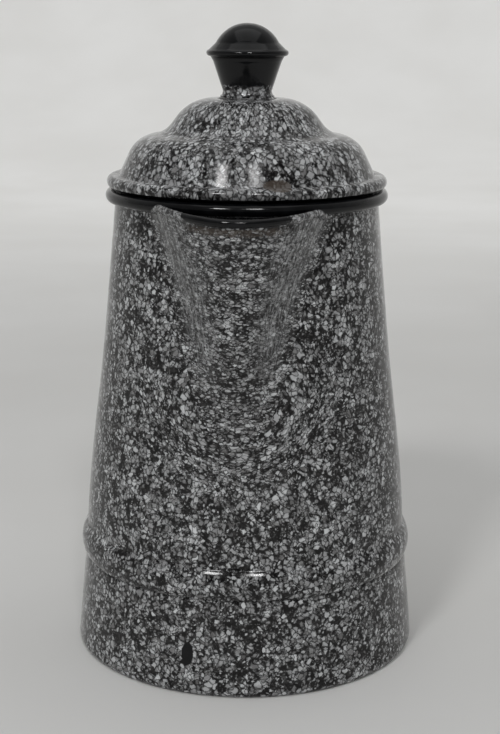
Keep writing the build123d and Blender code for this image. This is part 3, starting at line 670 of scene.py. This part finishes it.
def flank_grain(point):
    """Grain drawn out along the flanks."""
    return (spout_share(point) * 78, point.z / MM * 0.45, around(point)[0] / MM * 0.3)


def flank_weight(point):
    """1 on the flanks, where the enamel ran into streaks."""
    share = abs(spout_share(point))
    higher = smooth(TIP_Z + 0.010, TIP_Z + 0.050, point.z)
    return 0.5 * smooth(0.22, 0.60, share) * (1 - smooth(0.85, 1.08, share)) * higher


def lip_trim_and_mouth_shade(point):
    """1 on the black middle of the rolled lip and on a worn spot, and inside the mouth, where the black is
    painted shade.
    """
    share = spout_share(point)
    middle = 1 - smooth(0.28, 0.58, abs(share))
    on_lip = smooth(-0.0022, -0.0012, point.z - lip_height(share)) * middle
    # painted shade: the inside of the mouth is painted black
    inside = smooth(0.0003, 0.0009, spout_radius(share, point.z) - around(point)[0])
    return max(on_lip, inside, spot(point, *LIP_SPOT))


def lip_stain(point):
    """1 in the brown band under the lip."""
    share = spout_share(point)
    below = lip_height(share) - point.z
    band = smooth(0.0015, 0.0025, below) * (1 - smooth(0.0040, 0.0075, below))
    return 0.6 * band * (1 - smooth(0.3, 0.7, abs(share)))


lip = spout()
paint(lip, "grain", "FLOAT_VECTOR", nose_grain)
paint(lip, "streak", "FLOAT_VECTOR", flank_grain)
paint(lip, "flank", "FLOAT", flank_weight)
# black enamel on the lip, and painted shade inside the mouth
paint(lip, "black_trim_and_shade", "FLOAT", lip_trim_and_mouth_shade)
paint(lip, "stain", "FLOAT", lip_stain)
finish_piece(lip, "pot", SPOUT_ENAMEL, "spout")


# ---------------------------------------------------------------- lid and knob

def lid_outline(inset, steps):
    """The lid from the skirt's foot over both tiers to the crown's hole, set in by a distance."""
    heading = degrees(atan2(SHOULDER[1] - SKIRT_FOOT[1], SHOULDER[0] - SKIRT_FOOT[0]))
    side = Vector((cos(radians(heading + 90)), sin(radians(heading + 90)))) * inset
    foot = (SKIRT_FOOT[0] + side.x, SKIRT_FOOT[1] + side.y)
    shoulder = (SHOULDER[0] + side.x, SHOULDER[1] + side.y)
    points = line(foot, shoulder, steps)
    tier = bend(shoulder, heading, TIER_ROUND - inset, TIER_TURN, steps)
    points += tier[:-1]
    heading += TIER_TURN
    dip = bend(tier[-1], heading, DIP_ROUND + inset, -DIP_TURN, steps)
    points += dip[:-1]
    heading -= DIP_TURN
    climb_round = CROWN_ROUND - inset
    climb = (CROWN_Z - inset - dip[-1][1] - climb_round * (1 + cos(radians(heading)))) / sin(radians(heading))
    ledge = (dip[-1][0] + climb * cos(radians(heading)), dip[-1][1] + climb * sin(radians(heading)))
    points += line(dip[-1], ledge, max(2, steps // 3))
    crown = bend(ledge, heading, climb_round, 180 - heading, steps)
    points += crown[:-1]
    points += line(crown[-1], (KNOB_RIVET_HOLE_R, CROWN_Z - inset), 8)
    points.append((KNOB_RIVET_HOLE_R, CROWN_Z - inset))
    return points


def lid_loop():
    """The lid's sheet with the brim rolled over its wire."""
    roll_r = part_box("lid_shell")[0].z * -1 + BRIM_WIRE_Z
    centre = (BRIM_R - roll_r, BRIM_WIRE_Z)
    outer = lid_outline(0.0, 26)
    inner = lid_outline(SHEET, 14)
    blend_in = [p for p in outer if p[1] > BRIM_WIRE_Z + roll_r - 0.0004]
    roll = arc(centre, roll_r, -190, 78, 48)
    return roll + blend_in + [p for p in inner if p[1] > BRIM_WIRE_Z][::-1]


LID_GRAIN_R = 0.020


def lid_place(point):
    """Grain of the lid: drawn out down the slopes."""
    radius, angle = around(point)
    spread = 30 * min(1.0, radius / LID_GRAIN_R) + 0.36 * radius / MM
    fall = (BRIM_R - radius) / MM * 0.55 + point.z / MM * 0.62
    return (spread * sin(angle), -spread * cos(angle), fall)


def lid_brim_shade(point):
    """1 on the underside of the brim: painted shade, black where it lies in shadow over the rim."""
    return 1 - smooth(BRIM_WIRE_Z - 0.0022, BRIM_WIRE_Z - 0.0008, point.z)


lid = lathe("lid_dome", lid_loop(), ripples=0.6)
paint(lid, "grain", "FLOAT_VECTOR", lid_place)
# painted shade: the brim's underside is painted black
paint(lid, "black_trim_and_shade", "FLOAT", lid_brim_shade)
paint(lid, "stain", "FLOAT", lambda point: spot(point, *BRIM_STAIN))
finish_piece(lid, "lid", LID_ENAMEL, "lid_shell")


def cup_outline():
    """The knob's cup: waisted neck, flared side, and its floor on the crown."""
    floor_z = CROWN_Z + 0.00005
    outer = line((KNOB_RIVET_HOLE_R, floor_z), (KNOB_FOOT_R, floor_z), 6)
    waist_side = (KNOB_WAIST[0] + 0.0004, (floor_z + KNOB_WAIST[1]) / 2)
    outer += arc_through((KNOB_FOOT_R, floor_z), waist_side, KNOB_WAIST, 12)
    outer += line(KNOB_WAIST, KNOB_CUP, 16)[1:] + [KNOB_CUP]
    outer.append((KNOB_BRIM_R - KNOB_BRIM_ROLL_R, KNOB_BRIM_Z - 0.0006))
    inner = [(r - KNOB_SHEET, z + (KNOB_SHEET if z < floor_z + 0.0002 else 0.0003)) for r, z in outer[1:]]
    inner[0:5] = [(KNOB_RIVET_HOLE_R, floor_z + KNOB_SHEET)]
    return sheet_loop(outer, inner)


def cap_outline():
    """The knob's cap: a dome with a flared edge folded over the cup's brim."""
    centre = (0.0, KNOB_TOP_Z - KNOB_ROUND)
    edge = (KNOB_BRIM_R - 0.0008, KNOB_BRIM_Z + KNOB_BRIM_ROLL_R - 0.0002)
    dome = arc(centre, KNOB_ROUND, 90, CAP_EDGE, 30)
    under = arc(centre, KNOB_ROUND - KNOB_SHEET, CAP_EDGE, 90, 16)
    fold = arc((KNOB_BRIM_R - KNOB_BRIM_ROLL_R, KNOB_BRIM_Z), KNOB_BRIM_ROLL_R, 58, -175, 26)
    outer = [(0.0, KNOB_TOP_Z)] + dome[1:] + line(dome[-1], edge, 8)[1:]
    return outer + fold + under[:-1] + [(0.0, KNOB_TOP_Z - KNOB_SHEET)]


def knob_trim(point):
    """0 on the mottled neck, 1 where the knob is black."""
    return smooth(KNOB_WAIST[1] - 0.0015, KNOB_WAIST[1] + 0.0055, point.z)


knob_cup = lathe("knob_flare", cup_outline())
paint(knob_cup, "grain", "FLOAT_VECTOR", millimetre_place)
paint(knob_cup, "black_trim_and_shade", "FLOAT", knob_trim)
finish_piece(knob_cup, "lid", MOTTLED, "knob_cup")
knob_cap = lathe("knob_dome", cap_outline())
finish_piece(knob_cap, "lid", BLACK, "knob_cap")


# ---------------------------------------------------------------- nodes shown as CAD made them

FINISHES = {
    "handle": BLACK,
    "handle_upper_rivets": BLACK,
    "handle_lower_rivets": BLACK,
    "hinge_bracket": BLACK,
    "hinge_bracket_rivets": BLACK,
    "hinge_leaf": BLACK,
    "hinge_leaf_rivets": BLACK,
    "hinge_pin": STEEL,
    "rim_wire": STEEL,
    "lid_wire": STEEL,
    "knob_rivet": STEEL,
    "lid_collar": BLACK,
    "pump_tube": ALUMINIUM,
    "pump_bell": ALUMINIUM,
    "basket_stop": ALUMINIUM,
    "basket": ALUMINIUM,
    "basket_sleeve": ALUMINIUM,
    "spreader": ALUMINIUM,
}
for name, material in FINISHES.items():
    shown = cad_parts[name]
    shown.data.materials.clear()
    shown.data.materials.append(material)


# ---------------------------------------------------------------- floor, light and camera

PAPER_FRONT_Y, PAPER_BEND_Y = -12.0, 1.6
PAPER_BEND_R, PAPER_TOP_Z = 1.2, 2.4
PAPER_HALF_WIDTH = 9.0
PAPER_GLOW = 0.36
WINDOW_DISTANCE, WINDOW_SIZE, WINDOW_POWER = 6.0, 0.92, 88

def stage_material():
    """Pale matt paper with the faintest cloud, that glows a little where it rises behind the pot."""
    material, tree, shader = new_material("pale_paper")
    place = node(tree, "ShaderNodeTexCoord").outputs["Object"]
    cloud = noise_value(tree, place, 0.26, 3.0).outputs["Fac"]
    warm = grey(0.66, (1.0, 0.995, 0.975))
    pale = grey(0.70, (1.0, 0.998, 0.985))
    tone = mix(tree, ramp(tree, cloud, 0.3, 0.7), warm, pale)
    back = node(tree, "ShaderNodeSeparateXYZ", {0: place}).outputs[1]
    tree.links.new(tone, shader.inputs["Base Color"])
    tree.links.new(tone, shader.inputs["Emission Color"])
    tree.links.new(ramp(tree, back, 0.3, PAPER_BEND_Y, 0.0, PAPER_GLOW), shader.inputs["Emission Strength"])
    shader.inputs["Roughness"].default_value = 0.95
    shader.inputs["Specular IOR Level"].default_value = 0.1
    return material


def paper_sweep():
    """One sheet of paper: flat under the pot, then curving up into the backdrop."""
    outline = line((PAPER_FRONT_Y, 0.0), (PAPER_BEND_Y, 0.0), 40)
    outline += arc((PAPER_BEND_Y, PAPER_BEND_R), PAPER_BEND_R, -90, 0, 32)
    outline.append((PAPER_BEND_Y + PAPER_BEND_R, PAPER_TOP_Z))
    columns = [PAPER_HALF_WIDTH * (i / 12 - 1) for i in range(25)]
    points = [(x, y, z) for x in columns for y, z in outline]
    count = len(outline)
    faces = [(c * count + i, (c + 1) * count + i, (c + 1) * count + i + 1, c * count + i + 1)
             for c in range(len(columns) - 1) for i in range(count - 1)]
    piece = new_piece("paper", points, faces)
    piece.data.materials.append(stage_material())


def aim(thing, place, target):
    """Put a light or a camera in place, looking at a target."""
    thing.location = place
    thing.rotation_mode = "QUATERNION"
    thing.rotation_quaternion = (Vector(target) - Vector(place)).to_track_quat("-Z", "Y")


def area_light(name, azimuth, elevation, distance, size, power):
    """A soft square light aimed at the middle of the pot. Azimuth is from the front towards +X."""
    data = bpy.data.lights.new(name, "AREA")
    data.shape = "SQUARE"
    data.size = size
    data.energy = power
    light = bpy.data.objects.new(name, data)
    bpy.context.scene.collection.objects.link(light)
    middle = Vector((0, 0, 0.13))
    a, e = radians(azimuth), radians(elevation)
    aim(light, middle + distance * Vector((sin(a) * cos(e), -cos(a) * cos(e), sin(e))), middle)


def studio_world():
    """Pale surroundings: bright behind and beside the pot, dimmer in front of it."""
    world = bpy.data.worlds.new("studio")
    world.use_nodes = True
    tree = world.node_tree
    tree.nodes.clear()
    direction = node(tree, "ShaderNodeTexCoord").outputs["Generated"]
    parts = node(tree, "ShaderNodeSeparateXYZ", {0: direction})
    level = ramp(tree, parts.outputs[1], -0.7, 0.6, 0.16, 0.42)
    seen = node(tree, "ShaderNodeLightPath").outputs["Is Camera Ray"]
    level = mix_value(tree, seen, level, 0.60)
    background = node(tree, "ShaderNodeBackground", {"Color": grey(1.0, (1.0, 1.0, 0.99)), "Strength": level})
    node(tree, "ShaderNodeOutputWorld", {"Surface": background.outputs[0]})
    bpy.context.scene.world = world


def camera():
    """The camera of the reference view: a little to the right of the spout and looking down."""
    data = bpy.data.cameras.new("camera")
    data.lens = 73.6
    data.sensor_width = 36.0
    piece = bpy.data.objects.new("camera", data)
    bpy.context.scene.collection.objects.link(piece)
    side = radians(3.5)
    distance = 0.6097
    piece.location = (distance * sin(side), -distance * cos(side), 0.2612)
    heading = Matrix.Rotation(radians(3.347), 4, "Z")
    pitch = Matrix.Rotation(radians(90 - 13.38), 4, "X")
    lean = Matrix.Rotation(radians(0.29), 4, "Z")
    piece.rotation_euler = (heading @ pitch @ lean).to_euler()
    bpy.context.scene.camera = piece


paper_sweep()
area_light("window_left", -22.7, 39, WINDOW_DISTANCE, WINDOW_SIZE, WINDOW_POWER)
area_light("window_right", 10.9, 39, WINDOW_DISTANCE, WINDOW_SIZE, WINDOW_POWER)
area_light("ceiling", 0, 88, 2.4, 2.4, 9)
studio_world()
camera()
bpy.context.scene.view_settings.view_transform = "Standard"
